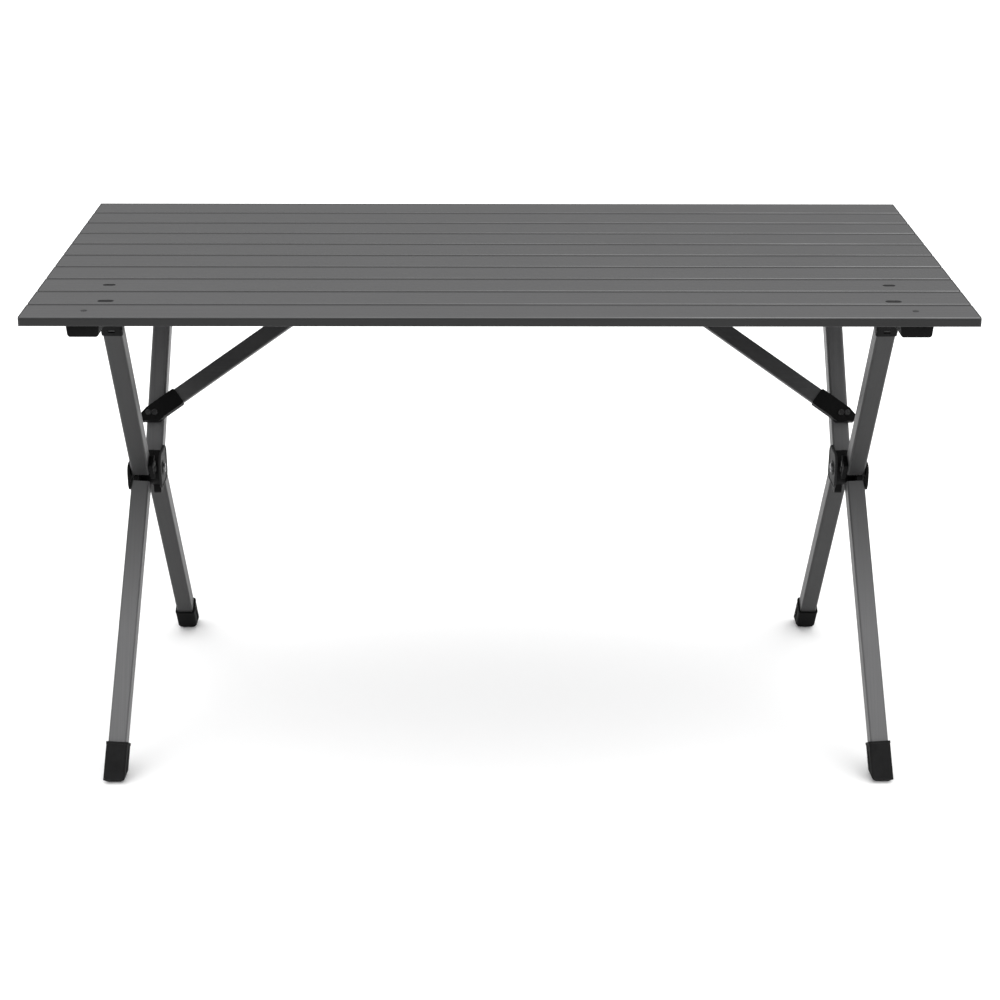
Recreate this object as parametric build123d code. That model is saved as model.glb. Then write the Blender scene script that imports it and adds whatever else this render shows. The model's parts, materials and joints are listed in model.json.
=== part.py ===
"""Folding picnic table: a roll-up slatted aluminium top on an offset scissor frame.

Millimetres. X runs along the slats, -Y is the front, +Z is up. The origin is on the floor under the
middle of the table. Every piece is one STEP file in parts/, named after its node.
"""
import os
from math import cos, radians, sin, tan

from build123d import *

# ---- Driving dimensions -------------------------------------------------------------------------
TOP_LENGTH = 1200.0
TOP_DEPTH = 600.0
HEIGHT = 680.0

SLAT_COUNT = 10
SLAT_GAP = 1.4
SLAT_THICK = 12.0
SLAT_WALL = 1.4
SLAT_EDGE_RADIUS = 3.0
SLAT_FOOT_RADIUS = 1.5
SLAT_RIB_OFFSET = 9.5
PLUG_PLATE = 2.0
PLUG_DEPTH = 14.0
CLIP_RECESS = 0.3
# The clips of two slats: distance from the middle, shift towards the front, length and width.
CLIPS = {2: (503.0, 17.2, 21.0, 10.0), 3: (511.0, 2.6, 17.0, 9.0)}

ARM_ANGLE = 32.15          # from the vertical, for upper and lower arms alike
ARM_SIZE = 25.0
ARM_WALL = 1.5
ARM_RADIUS = 3.0
ARM_TOP_Z = 641.0
# Each arm's distance from the middle at the pivot's height, and its lean outward, going down.
FRONT_UPPER = (507.0, 1.0)
BACK_UPPER = (497.0, 2.0)
FRONT_LOWER = (507.0, 3.85)
BACK_LOWER = (497.0, 0.0)

PIVOT_Z = 366.0
ARM_OFFSET = 24.0          # arm axes pass this far in front of and behind the pivot
ARM_TAIL = 13.0            # from that crossing to the hub end of each arm
PIVOT_RADIUS = 4.0
HUB_DISC_RADIUS = 25.0
HUB_DRUM_RADIUS = 25.5
HUB_BOSS_RADIUS = 10.0
HUB_TAB_START = 14.0
HUB_TAB_END = 43.0
HUB_TONGUE_END = 60.0
HUB_TONGUE_START = 12.0
FRONT_PLATE_X = (487.6, 493.8)
FRONT_CORE_X = 483.7
BACK_PLATE_X = (509.8, 517.5)
OUTER_CHEEK_X = (521.4, 524.2)
INNER_CHEEK_X = (481.0, 483.4)

RAIL_SIZE = 18.0
RAIL_WALL = 1.5
RAIL_Y = 201.9
RAIL_Z = 654.5
RAIL_END_X = 487.3
EAR_X = (487.3, 501.0)
TOP_PIN_Y = 205.9
TOP_PIN_Z = 659.0
TOP_PIN_RADIUS = 4.0
EAR_RADIUS = 8.2
BRACKET_SIZE = 28.0
BRACKET_TOP_Z = 649.6
BRACKET_SKIRT = 9.0
SPIGOT_LENGTH = 25.0

BEAM_X = 523.0
BEAM_WIDTH = 38.0
BEAM_HEIGHT = 15.2
BEAM_WALL = 1.6
BEAM_END_Y = 266.0
CAP_END_Y = 289.0
CAP_SLEEVE = 24.0
CAP_WIDTH = 42.0
CAP_HEIGHT = 17.2
DECK_CLEARANCE = 0.3

BRACE_WIDTH = 24.0
BRACE_THICK = 8.0
BRACE_WALL = 1.2
BRACE_ANGLE = 36.4         # from the X direction, in the plane of the back frame
ELBOW_Z = 423.5
ELBOW_THICK = 12.0
BRACE_START = 10.0
BRACE_LENGTH = 430.0

FOOT_SIZE = 29.5
FOOT_TOP_Z = 43.5
FOOT_COLLAR = 30.4
FOOT_COLLAR_HEIGHT = 3.0
FOOT_SIDE_CHAMFER = 6.0
FOOT_TOE_CHAMFER = 11.0
FOOT_HEEL_CHAMFER = 3.5
TUBE_FLOOR_Z = 13.0

RIVET_RADIUS = 2.4
RIVET_HEAD_RADIUS = 4.4
RIVET_HEAD_HEIGHT = 1.2
RUNNING_CLEARANCE = 0.05

# ---- Worked-out sizes ---------------------------------------------------------------------------
SLAT_WIDTH = (TOP_DEPTH - (SLAT_COUNT - 1) * SLAT_GAP) / SLAT_COUNT
SLAT_PITCH = SLAT_WIDTH + SLAT_GAP
SLAT_BOTTOM = HEIGHT - SLAT_THICK
BEAM_TOP = SLAT_BOTTOM - DECK_CLEARANCE
SIN = sin(radians(ARM_ANGLE))
COS = cos(radians(ARM_ANGLE))
TAN = tan(radians(ARM_ANGLE))
# Perpendicular distance of each arm's axis from the pivot.
ARM_REACH = ARM_OFFSET * COS

parts = {}


# ---- Helpers ------------------------------------------------------------------------------------
def arm_x(arm, z):
    """Distance of an arm's axis from the table's middle, at a height."""
    at_pivot, lean = arm
    return at_pivot + (PIVOT_Z - z) * tan(radians(lean))


def rounded_tube(start, end, width, depth, wall, radius, x_dir=(1, 0, 0)):
    """A rectangular tube with rounded corners between two points. Its width lies along x_dir."""
    axis = Vector(*end) - Vector(*start)
    plane = Plane(origin=start, x_dir=x_dir, z_dir=axis)
    outer = RectangleRounded(width, depth, radius)
    inner = RectangleRounded(width - 2 * wall, depth - 2 * wall, max(radius - wall, 0.4))
    return extrude(plane * (outer - inner), axis.length)


def bar(start, end, width, depth, radius, x_dir=(1, 0, 0)):
    """The same as a solid bar."""
    axis = Vector(*end) - Vector(*start)
    plane = Plane(origin=start, x_dir=x_dir, z_dir=axis)
    return extrude(plane * RectangleRounded(width, depth, radius), axis.length)


def box(x, y, z):
    """A box from its three (low, high) pairs."""
    size = [high - low for low, high in (x, y, z)]
    middle = [(high + low) / 2 for low, high in (x, y, z)]
    return Pos(*middle) * Box(*size)


def slab(outline, x):
    """A side-view outline in (Y, Z), extruded along X between two places on the left side."""
    near, far = x
    return extrude(Plane.YZ.offset(-far) * outline, far - near)


def rod(x, y, z, radius):
    """A round rod along X on the left side."""
    near, far = x
    return slab(Pos(y, z) * Circle(radius), (near, far))


def rivet(place, direction, length):
    """A rivet whose head sits on a surface at place. Its shank runs against direction."""
    plane = Plane(origin=place, z_dir=direction)
    shank = extrude(plane * Circle(RIVET_RADIUS), -length)
    head = extrude(plane * Circle(RIVET_HEAD_RADIUS), RIVET_HEAD_HEIGHT)
    head = fillet(head.faces().sort_by(Axis(plane.origin, plane.z_dir))[-1].edges(), 0.8)
    return shank + head


def mirrored(shape):
    """The right-hand copy of a left-hand shape."""
    return mirror(shape, about=Plane.YZ)


def add_pair(name, left):
    """Adds a left-hand piece and its right-hand mirror image as two nodes."""
    parts[name + "_left"] = left
    parts[name + "_right"] = mirrored(left)


def add_group(name, left_pieces):
    """Adds equal pieces from both sides as one node of separate solids."""
    both = list(left_pieces) + [mirrored(piece) for piece in left_pieces]
    parts[name] = Compound(children=both)


# ---- Roll-up top --------------------------------------------------------------------------------
def slat_outline(inset=0.0):
    """A slat's section: generous radii along the top edges and small ones underneath."""
    half = SLAT_WIDTH / 2 - inset
    low = -SLAT_THICK / 2 + inset
    high = SLAT_THICK / 2 - inset
    outline = make_face(Polyline((-half, low), (half, low), (half, high), (-half, high), close=True))
    top_corners = outline.vertices().filter_by(lambda v: v.Y > 0)
    outline = fillet(top_corners, SLAT_EDGE_RADIUS - inset)
    bottom_corners = outline.vertices().group_by(Axis.Y)[0]
    return fillet(bottom_corners, max(SLAT_FOOT_RADIUS - inset, 0.4))


def slat_chambers():
    """The three hollows of a slat's section, between its two ribs."""
    hollow = slat_outline(SLAT_WALL)
    for side in (-1, 1):
        hollow -= Pos(side * SLAT_RIB_OFFSET, 0) * Rectangle(SLAT_WALL, SLAT_THICK)
    return hollow


def slat_y(number):
    """The middle of a slat. Number 1 is the front one."""
    return -TOP_DEPTH / 2 + SLAT_WIDTH / 2 + (number - 1) * SLAT_PITCH


def add_slats():
    length = TOP_LENGTH - 2 * PLUG_PLATE
    section = slat_outline() - slat_chambers()
    chambers = slat_chambers()
    for number in range(1, SLAT_COUNT + 1):
        name = f"slat_{number:02d}"
        place = Pos(0, slat_y(number), HEIGHT - SLAT_THICK / 2)
        start = Plane.YZ.offset(-length / 2)
        slat = place * extrude(start * section, length)
        plate = extrude(Plane.YZ.offset(-TOP_LENGTH / 2) * slat_outline(), PLUG_PLATE)
        spigots = extrude(start * chambers, PLUG_DEPTH)
        plug = place * (plate + spigots)
        if number in CLIPS:
            clip_x, forward, clip_length, clip_width = CLIPS[number]
            clips = []
            for side in (-1, 1):
                centre = Pos(side * clip_x, slat_y(number) - forward, HEIGHT)
                oval = SlotOverall(clip_length, clip_width)
                slat -= centre * extrude(oval, -SLAT_WALL)
                seat = SlotOverall(clip_length + 3, clip_width + 3)
                clip = Pos(0, 0, -CLIP_RECESS) * extrude(oval, CLIP_RECESS - SLAT_WALL)
                clip += Pos(0, 0, -SLAT_WALL) * extrude(seat, -2.0)
                clips.append(centre * clip)
            parts[name + "_clips"] = Compound(children=clips)
        parts[name] = slat
        parts[name + "_plugs"] = Compound(children=[plug, mirrored(plug)])


# ---- Deck carrier: two cross beams under the slats, fixed to the front slat ---------------------
def beam_cap(front):
    """A plastic end cap, open over the beam's end. It is wider at the top than at the bottom."""
    half = CAP_WIDTH / 2
    low = BEAM_TOP - CAP_HEIGHT
    outline = make_face(
        Polyline((-half, BEAM_TOP), (half, BEAM_TOP), (half - 1.5, low), (1.5 - half, low), close=True)
    )
    outline = fillet(outline.vertices().group_by(Axis.Y)[0], 4.0)
    length = CAP_END_Y - BEAM_END_Y + CAP_SLEEVE
    cap = Pos(-BEAM_X, -CAP_END_Y, 0) * extrude(Plane.XZ * outline, -length)
    cap = fillet(cap.faces().sort_by(Axis.Y)[0].edges().sort_by(Axis.Z)[:-1], 2.0)
    cap -= beam_blank()
    return cap if front else mirror(cap, about=Plane.XZ)


def beam_blank():
    """The outer shape of the left beam."""
    middle = BEAM_TOP - BEAM_HEIGHT / 2
    ends = (-BEAM_X, -BEAM_END_Y, middle), (-BEAM_X, BEAM_END_Y, middle)
    return bar(*ends, BEAM_WIDTH, BEAM_HEIGHT, 1.5)


def add_deck_carrier():
    middle = BEAM_TOP - BEAM_HEIGHT / 2
    ends = (-BEAM_X, -BEAM_END_Y, middle), (-BEAM_X, BEAM_END_Y, middle)
    beam = rounded_tube(*ends, BEAM_WIDTH, BEAM_HEIGHT, BEAM_WALL, 1.5)
    beam_inner_x = BEAM_X - BEAM_WIDTH / 2
    # The back pins turn in round holes. The front pins drop out of open notches.
    bore = TOP_PIN_RADIUS + RUNNING_CLEARANCE
    beam -= rod((beam_inner_x - 1, beam_inner_x + 8), TOP_PIN_Y, TOP_PIN_Z, bore)
    notch_radius = TOP_PIN_RADIUS + DECK_CLEARANCE
    drop = 14.0
    notch = Circle(notch_radius) + make_face(
        Polyline(
            (-notch_radius, 0), (-notch_radius, -drop), (notch_radius + 1.8 * drop, -drop),
            (notch_radius, 0), close=True,
        )
    )
    beam -= slab(Pos(-TOP_PIN_Y, TOP_PIN_Z) * notch, (beam_inner_x - 1, beam_inner_x + 10.5))
    rivets = []
    slat = parts["slat_01"]
    for x in (BEAM_X - 11, BEAM_X + 11):
        for y in (slat_y(1) + 14, slat_y(1) + 22):
            shank = Pos(-x, y, BEAM_TOP - BEAM_WALL)
            piece = shank * extrude(Circle(RIVET_RADIUS), BEAM_WALL + DECK_CLEARANCE + SLAT_WALL)
            piece += shank * extrude(Circle(RIVET_HEAD_RADIUS), -RIVET_HEAD_HEIGHT)
            rivets.append(piece)
    for piece in rivets:
        beam -= piece
        slat -= piece
        slat -= mirrored(piece)
    parts["slat_01"] = slat
    add_pair("beam", beam)
    add_group("beam_caps", [beam_cap(True), beam_cap(False)])
    add_group("deck_rivets", rivets)


# ---- Scissor frame ------------------------------------------------------------------------------
def arm_point(arm, side, height):
    """A point on the left arm's axis. side is -1 in front of the pivot and 1 behind it."""
    y = side * (ARM_OFFSET + abs(height - PIVOT_Z) * TAN)
    return (-arm_x(arm, height), y, height)


def upper_arm(arm, side):
    tail_z = PIVOT_Z + ARM_TAIL * COS
    ends = arm_point(arm, side, tail_z), arm_point(arm, side, ARM_TOP_Z)
    return rounded_tube(*ends, ARM_SIZE, ARM_SIZE, ARM_WALL, ARM_RADIUS)


def lower_arm(arm, side):
    tail_z = PIVOT_Z - ARM_TAIL * COS
    ends = arm_point(arm, side, tail_z), arm_point(arm, side, TUBE_FLOOR_Z)
    return rounded_tube(*ends, ARM_SIZE, ARM_SIZE, ARM_WALL, ARM_RADIUS)


def foot(arm, side):
    """A rubber boot over the end of a lower arm, cut flat on the floor with chamfered edges."""
    top = arm_point(arm, side, FOOT_TOP_Z)
    band = arm_point(arm, side, FOOT_TOP_Z - FOOT_COLLAR_HEIGHT)
    below = arm_point(arm, side, -FOOT_SIZE)
    boot = bar(top, below, FOOT_SIZE, FOOT_SIZE, 3.5)
    boot -= box((-700, 700), (-400, 400), (-100, 0))
    floor = Vector(*arm_point(arm, side, 0))
    half_y = FOOT_SIZE / 2 / COS
    for end in (-1, 1):
        wedge = FOOT_SIDE_CHAMFER * 2**0.5
        boot -= Pos(floor.X + end * FOOT_SIZE / 2, floor.Y, 0) * Rot(0, 45, 0) * Box(wedge, 90, wedge)
        wedge = (FOOT_TOE_CHAMFER if end == side else FOOT_HEEL_CHAMFER) * 2**0.5
        boot -= Pos(floor.X, floor.Y + end * half_y, 0) * Rot(45, 0, 0) * Box(90, wedge, wedge)
    boot += bar(top, band, FOOT_COLLAR, FOOT_COLLAR, 4.0)
    tube = bar(arm_point(arm, side, FOOT_TOP_Z + 20), arm_point(arm, side, TUBE_FLOOR_Z),
               ARM_SIZE, ARM_SIZE, ARM_RADIUS)
    return boot - tube


def hub_plate(arm_side, plate_x):
    """One half of a hub: it joins an upper arm to the lower arm on the other side of the pivot."""
    disc = Circle(HUB_DISC_RADIUS)
    tab_length = HUB_TAB_END - HUB_TAB_START
    tab_middle = (HUB_TAB_START + HUB_TAB_END) / 2
    tab = Pos(ARM_REACH, tab_middle) * RectangleRounded(ARM_SIZE - 1, tab_length, 4)
    tongue_length = HUB_TONGUE_END - HUB_TONGUE_START
    tongue_middle = -(HUB_TONGUE_START + HUB_TONGUE_END) / 2
    tongue_width = ARM_SIZE - 2 * ARM_WALL
    tongue = Pos(-ARM_REACH, tongue_middle) * RectangleRounded(tongue_width, tongue_length, 1.5)
    outline = Rot(0, 0, -ARM_ANGLE) * (disc + tab + tongue)
    if arm_side < 0:
        outline = mirror(outline, about=Plane.YZ) + hub_core()
    return slab(Pos(0, PIVOT_Z) * outline, plate_x)


def hub_core():
    """The thick middle of the front half of a hub: a disc with a block hanging from it."""
    return Circle(HUB_DISC_RADIUS) + Pos(-3, -20) * RectangleRounded(20, 32, 6)


def top_bracket(arm, side):
    """The plastic corner at the top of an arm: it plugs into the arm and into the rail."""
    end = arm_point(arm, side, ARM_TOP_Z)
    skirt = arm_point(arm, side, ARM_TOP_Z - BRACKET_SKIRT * COS)
    plug = arm_point(arm, side, ARM_TOP_Z - SPIGOT_LENGTH)
    crown = arm_point(arm, side, ARM_TOP_Z + 12)
    head = bar(skirt, crown, BRACKET_SIZE, BRACKET_SIZE, 3.0)
    head -= box((-700, 700), (-400, 400), (BRACKET_TOP_Z, 800))
    head -= bar(plug, end, ARM_SIZE, ARM_SIZE, ARM_RADIUS)
    inner = ARM_SIZE - 2 * ARM_WALL
    head += bar(plug, end, inner, inner, 1.5)
    # A recess in the face towards the front gives the moulding its ribbed look.
    nose = Vector(*end) + Vector(0, side * 13 * COS, -13 * SIN)
    if side < 0:
        head -= Pos(nose.X, nose.Y, nose.Z) * Rot(-ARM_ANGLE, 0, 0) * Box(9, 5, 40)
        head += bar(plug, end, inner, inner, 1.5)
    ear = Pos(TOP_PIN_Y, TOP_PIN_Z) * Circle(EAR_RADIUS)
    ear += Pos(TOP_PIN_Y - 5, 648) * Rectangle(18, 24)
    if side < 0:
        ear = mirror(ear, about=Plane.YZ)
    # The deck swings past the outer side of the back corners, so both rows are cut back to the pin's ear.
    clear_y = TOP_PIN_Y + EAR_RADIUS
    beyond = (clear_y, 400) if side > 0 else (-400, -clear_y)
    head -= box((-700, 700), beyond, (500, 700))
    bracket = head + slab(ear, EAR_X)
    rail_blank = box((-RAIL_END_X, 0), sorted_pair(side, RAIL_SIZE), rail_heights())
    bracket -= rail_blank
    spigot = RAIL_SIZE - 2 * RAIL_WALL - 0.4
    bracket += box((-RAIL_END_X, SPIGOT_LENGTH - RAIL_END_X), sorted_pair(side, spigot),
                   (RAIL_Z - spigot / 2, RAIL_Z + spigot / 2))
    return bracket - upper_arm(arm, side)


def sorted_pair(side, width):
    """The low and high Y of something centred on a rail."""
    middle = side * RAIL_Y
    return (middle - width / 2, middle + width / 2)


def rail_heights():
    return (RAIL_Z - RAIL_SIZE / 2, RAIL_Z + RAIL_SIZE / 2)


def rail(side):
    ends = (-RAIL_END_X, side * RAIL_Y, RAIL_Z), (RAIL_END_X, side * RAIL_Y, RAIL_Z)
    return rounded_tube(*ends, RAIL_SIZE, RAIL_SIZE, RAIL_WALL, 2.0, x_dir=(0, 1, 0))


def drill(names, pieces):
    """Cuts the left-hand fasteners, and their mirror images on the right, out of the named parts."""
    for name in names:
        for piece in pieces:
            cutter = mirrored(piece) if name.endswith("_right") else piece
            parts[name] -= cutter


def add_front_frame():
    """The half that carries the front rail: front upper arms and back lower arms."""
    add_pair("arm_upper_front", upper_arm(FRONT_UPPER, -1))
    add_pair("arm_lower_back", lower_arm(BACK_LOWER, 1))
    add_pair("foot_back", foot(BACK_LOWER, 1))
    plate = hub_plate(-1, FRONT_PLATE_X)
    plate += slab(Pos(0, PIVOT_Z) * hub_core(), (FRONT_CORE_X, FRONT_PLATE_X[0]))
    plate -= rod((FRONT_CORE_X, FRONT_PLATE_X[1]), 0, PIVOT_Z, PIVOT_RADIUS + RUNNING_CLEARANCE)
    add_pair("hub_front_half", plate)
    add_pair("corner_front", top_bracket(FRONT_UPPER, -1))
    parts["rail_front"] = rail(-1)
    # Rivets through the hub's tab into the arm, and the pins that the deck hooks over.
    pieces = []
    for along in (24, 36):
        y = -(ARM_REACH * COS + along * SIN)
        z = PIVOT_Z - ARM_REACH * SIN + along * COS
        pieces.append(rivet((-FRONT_PLATE_X[0], y, z), (1, 0, 0), 13))
    pin = rod((EAR_X[0] + 3, 513.0), -TOP_PIN_Y, TOP_PIN_Z, TOP_PIN_RADIUS)
    for side in ("_left", "_right"):
        drill(["hub_front_half" + side, "arm_upper_front" + side], pieces)
        drill(["corner_front" + side], [pin])
    add_group("front_frame_rivets", pieces)
    add_group("deck_hook_pins", [pin])


def brace_frame():
    """The plane of the left brace: x along the brace, z away from the back frame."""
    s = (ELBOW_Z - PIVOT_Z) / COS
    away = Vector(0, -COS, SIN)
    up = Vector(0, SIN, COS)
    on_axis = Vector(-arm_x(BACK_UPPER, ELBOW_Z), ARM_OFFSET + s * SIN, ELBOW_Z)
    origin = on_axis + away * (ARM_SIZE / 2 + ELBOW_THICK / 2)
    along = Vector(1, 0, 0) * cos(radians(BRACE_ANGLE)) + up * sin(radians(BRACE_ANGLE))
    return Plane(origin=origin, x_dir=along, z_dir=away), Plane(origin=origin, x_dir=(1, 0, 0), z_dir=away)


def brace_bar(wall):
    plane, _ = brace_frame()
    start = plane.origin + plane.x_dir * BRACE_START
    end = plane.origin + plane.x_dir * (BRACE_START + BRACE_LENGTH)
    size = (BRACE_THICK, BRACE_WIDTH)
    if wall:
        return rounded_tube(start, end, *size, wall, 1.6, x_dir=plane.z_dir)
    return bar(start, end, *size, 1.6, x_dir=plane.z_dir)


def elbow():
    """The moulding that clamps a brace to the face of a back arm."""
    along, level = brace_frame()
    half = ELBOW_THICK / 2 - 0.05
    flip = 1 if level.y_dir.Z > 0 else -1
    sleeve = along * (Pos(18, 0, 0) * Box(48, BRACE_WIDTH + 2.4, 2 * half))
    sleeve = fillet(sleeve.edges().filter_by(Axis(along.origin, along.z_dir)), 3.0)
    outline = make_face(
        Polyline((-21, -3), (-19, -13), (6, -13), (14, -7), (2, 13), (-12, 8), close=True)
    )
    outline = fillet(outline.vertices(), 2.0)
    if flip < 0:
        outline = mirror(outline, about=Plane.XZ)
    base = extrude(level.offset(-half) * outline, 2 * half)
    return sleeve + base - brace_bar(0)


def brace_anchor():
    """The block between the top of a brace and the back rail."""
    plane, _ = brace_frame()
    tip = plane.origin + plane.x_dir * (BRACE_START + BRACE_LENGTH - 12)
    face_y = RAIL_Y - RAIL_SIZE / 2
    low, high = rail_heights()
    outline = make_face(
        Polyline(
            (face_y, low), (face_y, high - 1), (face_y - 10, high + 1), (tip.Y - 10, tip.Z + 2),
            (tip.Y - 4, tip.Z - 12), close=True,
        )
    )
    block = slab(fillet(outline.vertices(), 1.5), (-tip.X - 15, -tip.X + 15))
    return block - brace_bar(0)


def add_back_frame():
    """The half that carries the back rail and the braces: back upper arms and front lower arms."""
    add_pair("arm_upper_back", upper_arm(BACK_UPPER, 1))
    add_pair("arm_lower_front", lower_arm(FRONT_LOWER, -1))
    add_pair("foot_front", foot(FRONT_LOWER, -1))
    pivot_hole = rod((400, 600), 0, PIVOT_Z, PIVOT_RADIUS)
    spacer_x = (FRONT_PLATE_X[1] + DECK_CLEARANCE, BACK_PLATE_X[0])
    back_half = hub_plate(1, BACK_PLATE_X) + rod(spacer_x, 0, PIVOT_Z, HUB_DRUM_RADIUS)
    add_pair("hub_back_half", back_half - pivot_hole)
    add_pair("corner_back", top_bracket(BACK_UPPER, 1))
    parts["rail_back"] = rail(1)
    add_pair("brace", brace_bar(BRACE_WALL))
    add_pair("elbow", elbow())
    add_group("brace_anchors", [brace_anchor()])

    outer = slab(Pos(-17, PIVOT_Z) * RectangleRounded(58, 41, 14), OUTER_CHEEK_X)
    outer += rod((BACK_PLATE_X[1], OUTER_CHEEK_X[0]), 0, PIVOT_Z, HUB_BOSS_RADIUS)
    add_group("hub_outer_cheeks", [outer - pivot_hole])
    inner = slab(Pos(5, PIVOT_Z) * RectangleRounded(58, 52, 13), INNER_CHEEK_X)
    add_group("hub_inner_cheeks", [inner - pivot_hole])

    rivets = []
    for along in (24, 36):
        y = ARM_REACH * COS + along * SIN
        z = PIVOT_Z - ARM_REACH * SIN + along * COS
        rivets.append(rivet((-BACK_PLATE_X[1], y, z), (-1, 0, 0), 14))
    rivets.append(rivet((-OUTER_CHEEK_X[1], -36, PIVOT_Z - 15), (-1, 0, 0), 7))
    _, level = brace_frame()
    top = ELBOW_THICK / 2 - 0.05
    for p in (0, -9):
        seat = level.origin + level.x_dir * p + level.z_dir * top
        rivets.append(rivet(seat, level.z_dir, ELBOW_THICK + 4))
    names = ["hub_back_half", "arm_upper_back", "arm_lower_front", "elbow"]
    for side in ("_left", "_right"):
        drill([name + side for name in names], rivets)
    parts["hub_outer_cheeks"] -= rivets[2]
    parts["hub_outer_cheeks"] -= mirrored(rivets[2])
    add_group("back_frame_rivets", rivets)

    pivot = rod((INNER_CHEEK_X[0] - 2, OUTER_CHEEK_X[1] + 2), 0, PIVOT_Z, PIVOT_RADIUS)
    pivot += rod((INNER_CHEEK_X[0] - 2, INNER_CHEEK_X[0]), 0, PIVOT_Z, 7)
    pivot += rod((OUTER_CHEEK_X[1], OUTER_CHEEK_X[1] + 2), 0, PIVOT_Z, 7)
    add_group("pivot_pins", [pivot])
    hinge = rod((EAR_X[0] + 3, 509.0), TOP_PIN_Y, TOP_PIN_Z, TOP_PIN_RADIUS)
    for side in ("_left", "_right"):
        drill(["corner_back" + side], [hinge])
    add_group("deck_hinge_pins", [hinge])


add_slats()
add_deck_carrier()
add_front_frame()
add_back_frame()

os.makedirs("parts", exist_ok=True)
for part_name, shape in parts.items():
    export_step(shape, f"parts/{part_name}.step")
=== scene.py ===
"""Looks for the folding picnic table: materials, small moulded details, cords, floor, light, camera."""
import json
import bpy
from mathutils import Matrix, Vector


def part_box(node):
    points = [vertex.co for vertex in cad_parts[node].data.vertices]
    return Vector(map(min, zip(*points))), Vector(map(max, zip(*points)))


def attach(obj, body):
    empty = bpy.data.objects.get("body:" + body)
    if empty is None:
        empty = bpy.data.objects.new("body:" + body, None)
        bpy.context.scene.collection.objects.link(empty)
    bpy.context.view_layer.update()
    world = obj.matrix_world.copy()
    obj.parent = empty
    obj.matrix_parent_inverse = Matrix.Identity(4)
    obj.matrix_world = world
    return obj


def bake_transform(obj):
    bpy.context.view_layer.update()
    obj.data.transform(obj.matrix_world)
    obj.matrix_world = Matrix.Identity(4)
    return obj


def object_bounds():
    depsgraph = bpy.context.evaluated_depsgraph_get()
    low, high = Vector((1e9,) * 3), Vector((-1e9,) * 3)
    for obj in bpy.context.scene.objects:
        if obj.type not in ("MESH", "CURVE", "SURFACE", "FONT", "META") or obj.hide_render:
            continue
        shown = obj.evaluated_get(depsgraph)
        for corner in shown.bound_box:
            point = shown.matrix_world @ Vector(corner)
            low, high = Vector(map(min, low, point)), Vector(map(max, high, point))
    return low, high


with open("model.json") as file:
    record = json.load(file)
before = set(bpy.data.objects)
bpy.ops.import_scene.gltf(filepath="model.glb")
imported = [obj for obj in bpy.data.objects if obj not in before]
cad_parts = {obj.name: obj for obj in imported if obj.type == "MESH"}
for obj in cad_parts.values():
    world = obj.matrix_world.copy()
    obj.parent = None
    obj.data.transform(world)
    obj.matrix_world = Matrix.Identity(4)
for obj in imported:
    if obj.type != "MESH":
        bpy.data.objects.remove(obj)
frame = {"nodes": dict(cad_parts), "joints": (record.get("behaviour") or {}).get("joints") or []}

from fnmatch import fnmatchcase
from math import cos, pi, radians, sin, tan

import bmesh
import bpy
from mathutils import Matrix, Vector

CAD_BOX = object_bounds()


# ---- Places read from the frame, in metres ------------------------------------------------------
def middle_and_size(node):
    """The middle and the size of a CAD node's box, along X, Y and Z."""
    low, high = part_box(node)
    middle = [(a + b) / 2 for a, b in zip(low, high)]
    size = [b - a for a, b in zip(low, high)]
    return middle, size


JOINTS = {joint["name"]: joint for joint in frame["joints"]}
PIVOT_Z = JOINTS["frame_fold"]["pos_m"][2]
OUTER_CHEEK_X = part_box("hub_outer_cheeks")[1][0]
PIN_END_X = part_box("pivot_pins")[1][0]
TOP_Z = CAD_BOX[1][2]
LEFT_X = CAD_BOX[0][0]
RIGHT_X = CAD_BOX[1][0]
FRONT_Y = CAD_BOX[0][1]
SLAT_THICK = middle_and_size("slat_01")[1][2]
SLAT_PITCH = JOINTS["roll_03"]["pos_m"][1] - JOINTS["roll_02"]["pos_m"][1]
SLAT_COUNT = sum(1 for name in frame["nodes"] if name.startswith("slat_") and name[5:].isdigit())
SIDES = (("left", -1), ("right", 1))

# ---- Sizes of the CAD that no box gives, in metres and radians ----------------------------------
ARM_ANGLE = radians(32.15)
ARM_OFFSET = 0.024
ARM_SIZE = 0.025
INNER_CHEEK_X = 0.4810
FRONT_FOOT_LEAN = radians(3.85)
ELBOW_X = 0.4949
ELBOW_Z = 0.4235
ELBOW_THICK = 0.0119

# ---- Sizes of the details, in metres ------------------------------------------------------------
CORD_RADIUS = 0.0019
CORD_SIDES = 12
CORD_LINES_X = (-0.46, -0.155, 0.155, 0.46)
# A cord's points lie close together round each hinge.
CORD_FINE_STEP = 0.001
CORD_FINE_STEPS = 6
CORD_OUTER_STATION = 0.012

PIVOT_HEAD_RADIUS = 0.0066
RINGED_HEAD_HEIGHT = 0.0016
# How far each elbow rivet lies outside ELBOW_X, and its radius.
ELBOW_HEADS = ((0.0, 0.0046), (0.009, 0.0036))
DECK_HEAD_RADIUS = 0.0042
DECK_HEAD_HEIGHT = 0.0006

RIM_MARGIN = 0.001
RIM_BREADTH = 0.0022
RIM_HEIGHT = 0.0008
OUTER_RIM_CORNER = 0.013
INNER_RIM_CORNER = 0.012
WASHER_RADIUS = 0.0105
WASHER_HEIGHT = 0.001

RIB_COUNT = 3
RIB_LOWEST = 0.016
RIB_PITCH = 0.0075
# Distance from the middle of a foot to the face that the ribs stand on.
RIB_SEAT = 0.0147
RIB_SIZE = (0.0022, 0.018, 0.0009)
RIB_EDGE = 0.0003

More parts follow.
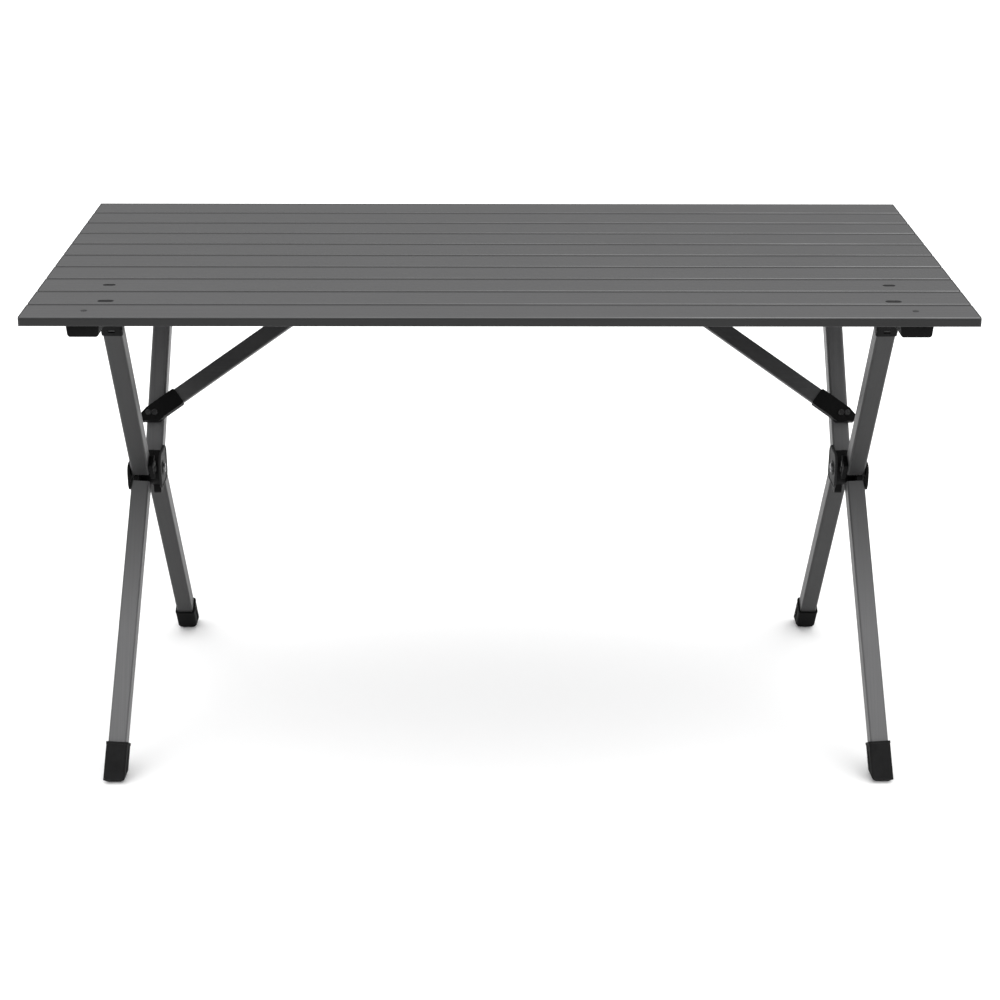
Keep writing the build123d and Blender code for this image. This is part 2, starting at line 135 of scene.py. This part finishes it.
# Turned profiles from the axis to the axis again, as shares of a radius and of a height.
RINGED_HEAD = ((0, 0), (1, 0), (1, 0.45), (0.92, 0.8), (0.78, 1), (0.62, 0.92),
               (0.54, 0.55), (0.40, 0.55), (0.30, 0.85), (0, 0.95))
PLAIN_HEAD = ((0, 0), (1, 0), (1, 0.3), (0.86, 0.72), (0.55, 0.96), (0, 1))
WASHER = ((0, 0), (1, 0), (1, 0.6), (0.9333, 1), (0, 1))
LATHE_STEPS = 40

# ---- Values for the materials -------------------------------------------------------------------
# Every grey has slightly more blue than red and green.
BLUE_CAST = 1.02
# Most of a noise texture lies in this range.
NOISE_RANGE = (0.3, 0.7)
# How far a rounded normal agrees with the flat one, from well into an edge to a flat face.
EDGE_RANGE = (0.75, 0.99)
EDGE_SAMPLES = 4
# Across one pitch of slats, from front edge to front edge: place, how much painted shade and how much
# painted highlight it gets.
SLAT_PROFILE = ((0.0, 1, 0), (0.014, 1, 0), (0.02, 0, 1), (0.036, 0, 1), (0.046, 0, 0),
                (0.83, 0, 0), (0.88, 0.8, 0), (0.9, 1, 0))


# ---- Shader nodes -------------------------------------------------------------------------------
class Shader:
    """A Principled material and short calls for its texture nodes.

    Wherever a colour is asked for, a plain number stands for a grey of that level.
    """

    def __init__(self, name, metallic=0.0, specular=0.5):
        self.material = bpy.data.materials.new(name)
        self.material.use_nodes = True
        self.tree = self.material.node_tree
        self.surface = self.tree.nodes["Principled BSDF"]
        self.surface.inputs["Metallic"].default_value = metallic
        self.surface.inputs["Specular IOR Level"].default_value = specular
        self.place = self.node("ShaderNodeTexCoord").outputs["Object"]
        self.colour = None

    def node(self, kind, values=()):
        """A new node, with the inputs that values names set."""
        made = self.tree.nodes.new(kind)
        for name, value in dict(values).items():
            made.inputs[name].default_value = value
        return made

    def link(self, output, target):
        self.tree.links.new(output, target)

    def axes(self):
        """The X, Y and Z of the object coordinates."""
        split = self.node("ShaderNodeSeparateXYZ")
        self.link(self.place, split.inputs["Vector"])
        return split.outputs

    def mapped(self, scale, rotation=(0, 0, 0)):
        """Object coordinates, turned and then stretched."""
        turn = self.node("ShaderNodeMapping", {"Rotation": rotation})
        self.link(self.place, turn.inputs["Vector"])
        stretch = self.node("ShaderNodeMapping", {"Scale": scale})
        self.link(turn.outputs["Vector"], stretch.inputs["Vector"])
        return stretch.outputs["Vector"]

    def noise(self, scale, rotation=(0, 0, 0), detail=3.0, roughness=0.55):
        """Noise with one scale for all axes, or with a scale for each."""
        scales = scale if isinstance(scale, tuple) else (scale,) * 3
        values = {"Scale": 1.0, "Detail": detail, "Roughness": roughness}
        texture = self.node("ShaderNodeTexNoise", values)
        self.link(self.mapped(scales, rotation), texture.inputs["Vector"])
        return texture.outputs["Fac"]

    def span(self, value, target, source=NOISE_RANGE):
        """A value stretched from the source range to the target range, and held inside it."""
        stretch = self.node("ShaderNodeMapRange", {"From Min": source[0], "From Max": source[1],
                                                   "To Min": target[0], "To Max": target[1]})
        self.link(value, stretch.inputs["Value"])
        return stretch.outputs["Result"]

    def math(self, operation, *values):
        made = self.node("ShaderNodeMath")
        made.operation = operation
        for value, socket in zip(values, made.inputs):
            self.link(value, socket)
        return made.outputs["Value"]

    def mix(self, factor, first, second):
        """A colour between two colours."""
        blend = self.node("ShaderNodeMix")
        blend.data_type = "RGBA"
        self.link(factor, blend.inputs["Factor"])
        sockets = [socket for socket in blend.inputs if socket.type == "RGBA"]
        for socket, colour in zip(sockets, (first, second)):
            if isinstance(colour, float):
                socket.default_value = (colour, colour, colour * BLUE_CAST, 1.0)
            else:
                self.link(colour, socket)
        return next(socket for socket in blend.outputs if socket.type == "RGBA")

    def edges(self, radius):
        """About 1 along convex and concave edges and 0 on flat faces."""
        bevel = self.node("ShaderNodeBevel", {"Radius": radius})
        bevel.samples = EDGE_SAMPLES
        flat = self.node("ShaderNodeNewGeometry")
        dot = self.node("ShaderNodeVectorMath")
        dot.operation = "DOT_PRODUCT"
        self.link(bevel.outputs["Normal"], dot.inputs[0])
        self.link(flat.outputs["Normal"], dot.inputs[1])
        return self.span(dot.outputs["Value"], (1.0, 0.0), EDGE_RANGE)

    def bump(self, height, strength, distance):
        relief = self.node("ShaderNodeBump", {"Strength": strength, "Distance": distance})
        self.link(height, relief.inputs["Height"])
        self.link(relief.outputs["Normal"], self.surface.inputs["Normal"])

    def paint(self, colour):
        """Sets the base colour and keeps it, so that a later layer can go over it."""
        self.colour = colour
        self.link(colour, self.surface.inputs["Base Color"])

    def roughen(self, roughness):
        self.link(roughness, self.surface.inputs["Roughness"])


# ---- Materials ----------------------------------------------------------------------------------
def along(direction, lengthways, across):
    """Texture scales for streaks that run along one axis: X, Y or Z."""
    return tuple(lengthways if axis == direction else across for axis in "XYZ")


def coated_metal(name, dark, light, worn, direction, tilt=0.0):
    """Satin coated aluminium with drawn streaks along the part, soft mottling and paler edges."""
    shader = Shader(name, metallic=0.35)
    turn = (tilt, 0, 0)
    streak = shader.noise(along(direction, 3.0, 420.0), turn, detail=4.0)
    fine = shader.noise(along(direction, 14.0, 1900.0), turn, detail=2.0)
    cloud = shader.noise(9.0, detail=4.0, roughness=0.6)
    grain = shader.noise(3200.0, detail=1.0)
    scuff = shader.noise(55.0, detail=6.0, roughness=0.7)
    streaks = shader.math("ADD", shader.span(streak, (0.0, 0.6)), shader.span(fine, (0.0, 0.4)))
    body = shader.mix(streaks, dark, light)
    body = shader.mix(shader.span(cloud, (0.0, 0.22), (0.45, 0.75)), body, light)
    rubbing = shader.span(scuff, (0.15, 0.75), (0.4, 0.65))
    wear = shader.math("MULTIPLY", shader.edges(0.0012), rubbing)
    shader.paint(shader.mix(wear, body, worn))
    shader.roughen(shader.span(streak, (0.38, 0.52)))
    shader.bump(shader.math("ADD", fine, grain), strength=0.10, distance=0.0002)
    return shader


def paint_hub_shade(shader):
    """Paints shade on a lower arm at its hub, and fades it out halfway down to its foot."""
    depth = shader.span(shader.axes()["Z"], (0.0, 0.8), (PIVOT_Z / 2, PIVOT_Z))
    shader.paint(shader.mix(depth, shader.colour, 0.014))
    return shader


def paint_groove_shade_and_highlights(shader):
    """Paints the slats' light and shade: a coat paler towards the front, painted shade on their sides
    and back edges and a painted highlight on their front edges.
    """
    axes = shader.axes()
    last_edge = FRONT_Y + SLAT_COUNT * SLAT_PITCH
    place = shader.span(axes["Y"], (0.0, SLAT_COUNT), (FRONT_Y, last_edge))
    profile = shader.node("ShaderNodeValToRGB")
    ramp = profile.color_ramp.elements
    while len(ramp) < len(SLAT_PROFILE):
        ramp.new(0.5)
    for element, (position, gap_shade, rubbing) in zip(ramp, SLAT_PROFILE):
        element.position = position
        element.color = (gap_shade, rubbing, 0, 1)
    shader.link(shader.math("FRACT", place), profile.inputs["Fac"])
    channels = shader.node("ShaderNodeSeparateColor")
    shader.link(profile.outputs["Color"], channels.inputs["Color"])
    # Red is painted shade in the gaps between slats, green a painted highlight on the slats' front
    # edges.
    dark = channels.outputs["Red"]
    rubbed = channels.outputs["Green"]

    # Painted light: the coat is paler towards the front, and the painted highlight on the front edges
    # is patchy and grows towards the right, where the light falls.
    light_towards_front = shader.span(place, (0.28, 0.0), (0.0, SLAT_COUNT))
    patches = shader.span(shader.noise((4.0, 30.0, 30.0), detail=4.0), (0.25, 1.0))
    highlight_towards_right = shader.span(axes["X"], (0.0, 1.1), (LEFT_X / 2, RIGHT_X))
    rubbed = shader.math("MULTIPLY", rubbed, shader.math("MULTIPLY", patches, highlight_towards_right))
    front_lit_colour = shader.mix(light_towards_front, shader.colour, 0.092)
    shadowed = shader.mix(dark, front_lit_colour, 0.009)
    shader.paint(shader.mix(rubbed, shadowed, 0.16))
    return shader


def moulded_plastic(name, dark, light, roughness):
    """Moulded plastic: a fine sparked grain, faint flow marks and slightly polished edges."""
    shader = Shader(name, specular=0.06)
    flow = shader.noise((38.0, 38.0, 14.0), detail=5.0, roughness=0.6)
    grain = shader.noise(1500.0, detail=2.0, roughness=0.7)
    dust = shader.noise(130.0, detail=6.0, roughness=0.75)
    body = shader.mix(shader.span(flow, (0.0, 1.0)), dark, light)
    polishing = shader.span(dust, (0.1, 0.8), (0.35, 0.7))
    wear = shader.math("MULTIPLY", shader.edges(0.0008), polishing)
    shader.paint(shader.mix(wear, body, 2.6 * light))
    shader.roughen(shader.span(dust, (roughness - 0.08, roughness + 0.1)))
    shader.bump(shader.math("ADD", grain, flow), strength=0.18, distance=0.00025)
    return shader


def rubber(name, dark, light, worn):
    """Matt rubber with a coarser skin and a film of dust."""
    shader = Shader(name, specular=0.1)
    skin = shader.noise(900.0, detail=3.0, roughness=0.7)
    dust = shader.noise(60.0, detail=7.0, roughness=0.7)
    body = shader.mix(shader.span(dust, (0.0, 1.0)), dark, light)
    wear = shader.math("MULTIPLY", shader.edges(0.001), shader.span(skin, (0.1, 0.7)))
    shader.paint(shader.mix(wear, body, worn))
    shader.roughen(shader.span(dust, (0.62, 0.82)))
    shader.bump(skin, strength=0.3, distance=0.0003)
    return shader


def plated_steel(name):
    """Zinc-plated steel with a faintly spangled, brushed surface."""
    shader = Shader(name, metallic=1.0)
    brush = shader.noise((2200.0, 160.0, 160.0), detail=3.0)
    spangle = shader.noise(240.0, detail=5.0)
    shader.paint(shader.mix(shader.span(spangle, (0.0, 1.0)), 0.14, 0.28))
    shader.roughen(shader.span(brush, (0.24, 0.42)))
    shader.bump(brush, strength=0.12, distance=0.0001)
    return shader


def blackened_steel(name):
    """Black-coated rivet steel, rubbed grey along its rims."""
    shader = Shader(name, metallic=0.6)
    fleck = shader.noise(900.0, detail=4.0)
    body = shader.mix(shader.span(fleck, (0.0, 1.0)), 0.010, 0.022)
    wear = shader.math("MULTIPLY", shader.edges(0.0005), shader.span(fleck, (0.5, 1.0)))
    shader.paint(shader.mix(wear, body, 0.16))
    shader.roughen(shader.span(fleck, (0.34, 0.5)))
    shader.bump(fleck, strength=0.1, distance=0.0001)
    return shader


def braided_cord(name):
    """Black elastic cord with a woven sleeve."""
    shader = Shader(name)
    weave = shader.node("ShaderNodeTexWave", {"Scale": 1.0, "Distortion": 1.5})
    weave.bands_direction = "DIAGONAL"
    shader.link(shader.mapped((700.0, 700.0, 700.0)), weave.inputs["Vector"])
    fleck = shader.noise(1400.0, detail=2.0)
    shader.paint(shader.mix(weave.outputs["Fac"], 0.012, 0.045))
    shader.roughen(shader.span(fleck, (0.7, 0.9)))
    shader.bump(weave.outputs["Fac"], strength=0.5, distance=0.0004)
    return shader


FINISHES = {
    "slat": paint_groove_shade_and_highlights(coated_metal("slat_coat", 0.040, 0.068, 0.15, "X")),
    "level": coated_metal("rail_coat", 0.042, 0.058, 0.13, "X"),
    "beam": coated_metal("beam_coat", 0.042, 0.058, 0.13, "Y"),
    # The arms share one coat: the darker copy on the forward-leaning arms is painted shade and the
    # lighter copies are painted light; the lower front arms also get painted shade at the hub.
    "arm_forward": coated_metal("arm_forward_shaded_coat", 0.018, 0.027, 0.10, "Z", -ARM_ANGLE),
    "arm_back": coated_metal("arm_back_lit_coat", 0.076, 0.102, 0.20, "Z", ARM_ANGLE),
    "arm_low": paint_hub_shade(coated_metal("arm_low_light_and_shade_coat", 0.080, 0.112, 0.20, "Z", ARM_ANGLE)),
    "brace": coated_metal("brace_coat", 0.050, 0.066, 0.14, "X", ARM_ANGLE),
    "black": moulded_plastic("black_moulding", 0.003, 0.006, 0.50),
    "clip": moulded_plastic("clip_moulding", 0.010, 0.018, 0.52),
    "plug": moulded_plastic("plug_moulding", 0.030, 0.045, 0.52),
    "grey": moulded_plastic("grey_moulding", 0.018, 0.027, 0.50),
    "rubber": rubber("foot_rubber_skin", 0.005, 0.012, 0.045),
    # A darker copy of the foot rubber, as painted shade on the back feet.
    "rubber_shaded": rubber("foot_rubber_shaded", 0.001, 0.003, 0.010),
    "steel": plated_steel("plated_steel"),
    "dark_steel": blackened_steel("dark_rivet_steel"),
    "cord": braided_cord("elastic_cord"),
}

# The first pattern that fits a CAD node's name gives its finish.
FINISH_PATTERNS = (
    ("*_clips", "clip"),
    ("*_plugs", "plug"),
    ("slat_*", "slat"),
    ("rail_*", "level"),
    ("beam_left", "beam"),
    ("beam_right", "beam"),
    # The arms take the lit and shaded copies of their coat.
    ("arm_upper_front*", "arm_forward"),
    ("arm_lower_back*", "arm_forward"),
    ("arm_upper_back*", "arm_back"),
    ("arm_lower_front*", "arm_low"),
    ("brace_left", "brace"),
    ("brace_right", "brace"),
    # The back feet take the darker rubber copy, as painted shade.
    ("foot_back*", "rubber_shaded"),
    ("foot_*", "rubber"),
    ("*_rivets", "dark_steel"),
    ("*_pins", "steel"),
    ("hub_inner_cheeks", "grey"),
    ("*", "black"),
)


def paint_nodes():
    """Gives each CAD node its finish."""
    for name, node in frame["nodes"].items():
        finish = next(finish for pattern, finish in FINISH_PATTERNS if fnmatchcase(name, pattern))
        node.data.materials.clear()
        node.data.materials.append(FINISHES[finish].material)


# ---- Mesh helpers -------------------------------------------------------------------------------
def piece(name, mesh, body, finish, sharp_angle=35):
    """Turns a bmesh into a smooth object that rides on a body, or on none."""
    data = bpy.data.meshes.new(name)
    bmesh.ops.recalc_face_normals(mesh, faces=mesh.faces)
    mesh.to_mesh(data)
    mesh.free()
    made = bpy.data.objects.new(name, data)
    bpy.context.scene.collection.objects.link(made)
    data.materials.append(FINISHES[finish].material)
    if body:
        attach(made, body)
    for face in data.polygons:
        face.use_smooth = True
    data.set_sharp_from_angle(angle=radians(sharp_angle))
    return made


def facing(place, direction, up=Vector((0, 1, 0))):
    """A matrix at a place whose Z points along direction and whose Y lies as near up as it can."""
    z = Vector(direction).normalized()
    x = up.cross(z).normalized()
    y = z.cross(x)
    return Matrix.Translation(Vector(place)) @ Matrix((x, y, z)).transposed().to_4x4()


def add_loop(mesh, points, matrix):
    """Adds points to the mesh and returns them as one closed loop."""
    return [mesh.verts.new(matrix @ Vector(point)) for point in points]


def bridge(mesh, loops):
    """Joins each loop to the next one with a band of faces."""
    for first, second in zip(loops, loops[1:]):
        for index in range(len(first)):
            mesh.faces.new((first[index - 1], first[index], second[index], second[index - 1]))


def close_ends(mesh, loops):
    """Fills the first and the last of some loops."""
    mesh.faces.new(loops[0][::-1])
    mesh.faces.new(loops[-1])


def circle(radius, steps):
    """The points of a circle round the origin, counter-clockwise."""
    angles = [2 * pi * step / steps for step in range(steps)]
    return [(radius * cos(angle), radius * sin(angle)) for angle in angles]


def rounded_outline(width, depth, radius, corner_steps=8):
    """A rounded rectangle's points round the origin, counter-clockwise."""
    points = []
    for quarter in range(4):
        x_sign = 1 if quarter in (0, 3) else -1
        y_sign = 1 if quarter < 2 else -1
        for step in range(corner_steps + 1):
            angle = pi / 2 * (quarter + step / corner_steps)
            x = x_sign * (width / 2 - radius) + radius * cos(angle)
            y = y_sign * (depth / 2 - radius) + radius * sin(angle)
            points.append((x, y))
    return points


def lathe(mesh, profile, radius, height, matrix):
    """Adds a closed turned shape from a profile of shares of its radius and height."""
    rings = []
    for radius_share, height_share in profile:
        steps = LATHE_STEPS if radius_share else 1
        points = [(x, y, height_share * height) for x, y in circle(radius_share * radius, steps)]
        rings.append(add_loop(mesh, points, matrix))
    for lower, upper in zip(rings, rings[1:]):
        for step in range(LATHE_STEPS):
            corners = [lower[step % len(lower)], lower[(step + 1) % len(lower)],
                       upper[(step + 1) % len(upper)], upper[step % len(upper)]]
            # On the axis two corners are one point, so the face is a triangle.
            mesh.faces.new(list(dict.fromkeys(corners)))


def rim(mesh, width, depth, corner, matrix):
    """Adds a raised rim with a softened crest, that follows a rounded rectangle."""
    section = ((0.0, 0.0), (0.0, 0.7), (0.25, 1.0), (0.75, 1.0), (1.0, 0.7), (1.0, 0.0))
    loops = []
    for inward, up in section:
        inset = inward * RIM_BREADTH
        outline = rounded_outline(width - 2 * inset, depth - 2 * inset, corner - inset)
        loops.append(add_loop(mesh, [(x, y, up * RIM_HEIGHT) for x, y in outline], matrix))
    bridge(mesh, loops + loops[:1])


def soft_rib(mesh, matrix):
    """Adds one grip rib, with rounded corners and a chamfered top."""
    width, depth, height = RIB_SIZE
    loops = []
    for inset, up in ((0.0, 0.0), (0.0, height - RIB_EDGE), (RIB_EDGE, height)):
        corner = 1.5 * RIB_EDGE - inset
        outline = rounded_outline(width - 2 * inset, depth - 2 * inset, corner, corner_steps=3)
        loops.append(add_loop(mesh, [(x, y, up) for x, y in outline], matrix))
    bridge(mesh, loops)
    close_ends(mesh, loops)


# ---- Details ------------------------------------------------------------------------------------
def roll_cords():
    """Elastic cords through the slats, one stretch across each rolling joint."""
    height = TOP_Z - SLAT_THICK / 2
    fine = [CORD_FINE_STEP * step for step in range(-CORD_FINE_STEPS, CORD_FINE_STEPS + 1)]
    for number in range(2, SLAT_COUNT + 1):
        joint = JOINTS[f"roll_{number:02d}"]
        hinge_y = joint["pos_m"][1]
        reach = middle_and_size(f"slat_{number:02d}")[1][1] / 2
        mesh = bmesh.new()
        for x in CORD_LINES_X:
            loops = []
            for offset in (-reach, -CORD_OUTER_STATION, *fine, CORD_OUTER_STATION, reach):
                middle = Matrix.Translation((x, hinge_y + offset, height))
                points = [(across, 0, up) for across, up in circle(CORD_RADIUS, CORD_SIDES)]
                loops.append(add_loop(mesh, points, middle))
            bridge(mesh, loops)
            close_ends(mesh, loops)
        cord = piece(f"roll_cord_{number:02d}", mesh, None, "cord", sharp_angle=60)
        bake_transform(cord)


def pivot_heads():
    """Domed ends on the pivot pins, outside and inside each hub."""
    pin_overhang = PIN_END_X - OUTER_CHEEK_X
    for side, sign in SIDES:
        mesh = bmesh.new()
        for x, outward in ((PIN_END_X, 1), (INNER_CHEEK_X - pin_overhang, -1)):
            place = facing((sign * x, 0, PIVOT_Z), (sign * outward, 0, 0))
            lathe(mesh, RINGED_HEAD, PIVOT_HEAD_RADIUS, RINGED_HEAD_HEIGHT, place)
        piece(f"pivot_heads_{side}", mesh, "back_frame", "steel")


def cheek_rims():
    """A raised rim and a washer on the open face of each hub cheek."""
    cheeks = (("outer", OUTER_CHEEK_X, 1, OUTER_RIM_CORNER, "black"),
              ("inner", INNER_CHEEK_X, -1, INNER_RIM_CORNER, "grey"))
    for side, sign in SIDES:
        for which, face_x, outward, corner, finish in cheeks:
            middle, size = middle_and_size(f"hub_{which}_cheeks")
            direction = (sign * outward, 0, 0)
            place = facing((sign * face_x, middle[1], middle[2]), direction, Vector((0, 0, 1)))
            mesh = bmesh.new()
            rim(mesh, size[1] - 2 * RIM_MARGIN, size[2] - 2 * RIM_MARGIN, corner, place)
            seat = facing((sign * face_x, 0, PIVOT_Z), direction)
            lathe(mesh, WASHER, WASHER_RADIUS, WASHER_HEIGHT, seat)
            piece(f"{which}_cheek_rim_{side}", mesh, "back_frame", finish)


def foot_ribs():
    """Grip ribs on the left and right faces of each foot, square to the leg."""
    slope = tan(ARM_ANGLE)
    # The back feet's ribs take the darker rubber copy, as painted shade.
    rows = (("front", "back_frame", -1, tan(FRONT_FOOT_LEAN), "rubber"),
            ("back", "front_frame", 1, 0.0, "rubber_shaded"))
    for row, body, reach, lean, finish in rows:
        floor_y = reach * (ARM_OFFSET + PIVOT_Z * slope)
        for side, sign in SIDES:
            middle = middle_and_size(f"foot_{row}_{side}")[0]
            leg = Vector((sign * lean, reach * slope, -1)).normalized()
            mesh = bmesh.new()
            for index in range(RIB_COUNT):
                height = RIB_LOWEST + RIB_PITCH * index
                y = floor_y - reach * height * slope
                for face_sign in (-1, 1):
                    x = middle[0] + face_sign * RIB_SEAT + sign * lean * (middle[2] - height)
                    soft_rib(mesh, facing((x, y, height), (face_sign, 0, 0), leg))
            piece(f"foot_ribs_{row}_{side}", mesh, body, finish)


def elbow_heads():
    """Ringed rivet heads on the elbow mouldings."""
    away = Vector((0, -cos(ARM_ANGLE), sin(ARM_ANGLE)))
    along_arm = Vector((0, sin(ARM_ANGLE), cos(ARM_ANGLE)))
    distance = (ELBOW_Z - PIVOT_Z) / cos(ARM_ANGLE)
    seat = Vector((0, ARM_OFFSET, PIVOT_Z)) + along_arm * distance + away * (ARM_SIZE / 2 + ELBOW_THICK)
    for side, sign in SIDES:
        mesh = bmesh.new()
        for outward, radius in ELBOW_HEADS:
            place = facing((sign * (ELBOW_X + outward), seat.y, seat.z), away)
            lathe(mesh, RINGED_HEAD, radius, RINGED_HEAD_HEIGHT, place)
        piece(f"elbow_heads_{side}", mesh, "back_frame", "dark_steel")


def deck_rivet_heads():
    """Flat blackened heads on the front slat, above the two cross beams."""
    slat_middle = middle_and_size("slat_01")[0]
    beam_middle = middle_and_size("beam_right")[0]
    for side, sign in SIDES:
        mesh = bmesh.new()
        place = facing((sign * beam_middle[0], slat_middle[1], TOP_Z), (0, 0, 1))
        lathe(mesh, PLAIN_HEAD, DECK_HEAD_RADIUS, DECK_HEAD_HEIGHT, place)
        piece(f"deck_rivet_head_{side}", mesh, "deck_carrier", "dark_steel")


# ---- Stage --------------------------------------------------------------------------------------
def make_floor():
    """A pale, matt floor, just under the feet."""
    half_size = 25
    drop = 0.0005
    mesh = bmesh.new()
    bmesh.ops.create_grid(mesh, x_segments=8, y_segments=8, size=half_size)
    data = bpy.data.meshes.new("floor")
    mesh.to_mesh(data)
    mesh.free()
    floor = bpy.data.objects.new("floor", data)
    floor.location.z = -drop
    bpy.context.scene.collection.objects.link(floor)
    material = bpy.data.materials.new("floor_paper")
    material.use_nodes = True
    surface = material.node_tree.nodes["Principled BSDF"]
    surface.inputs["Base Color"].default_value = (0.93, 0.93, 0.93, 1)
    surface.inputs["Roughness"].default_value = 0.9
    surface.inputs["Specular IOR Level"].default_value = 0.1
    data.materials.append(material)


def make_light():
    """An even white surround and one very wide soft light overhead."""
    world = bpy.data.worlds.new("studio")
    world.use_nodes = True
    background = world.node_tree.nodes["Background"]
    background.inputs["Color"].default_value = (1.0, 1.0, 1.0, 1)
    background.inputs["Strength"].default_value = 0.55
    bpy.context.scene.world = world
    sun = bpy.data.lights.new("overhead", "SUN")
    sun.energy = 3.7
    sun.angle = radians(110)
    lamp = bpy.data.objects.new("overhead", sun)
    lamp.rotation_euler = (radians(8), radians(4), 0)
    bpy.context.scene.collection.objects.link(lamp)


def make_camera():
    """In front of the table and a little above it, looking down at its middle."""
    pitch = radians(21.8)
    heading = radians(0.47)
    roll = radians(0.18)
    data = bpy.data.cameras.new("camera")
    data.sensor_width = 36.0
    data.lens = 73.62
    data.clip_start = 0.05
    data.clip_end = 200.0
    camera = bpy.data.objects.new("camera", data)
    camera.location = (-0.020, -2.746, 1.414)
    turn = Matrix.Rotation(-heading, 3, "Z") @ Matrix.Rotation(pi / 2 - pitch, 3, "X")
    turn = turn @ Matrix.Rotation(roll, 3, "Z")
    camera.rotation_euler = turn.to_euler()
    bpy.context.scene.collection.objects.link(camera)
    bpy.context.scene.camera = camera


paint_nodes()
roll_cords()
pivot_heads()
cheek_rims()
foot_ribs()
elbow_heads()
deck_rivet_heads()
make_floor()
make_light()
make_camera()
bpy.context.scene.view_settings.view_transform = "Standard"
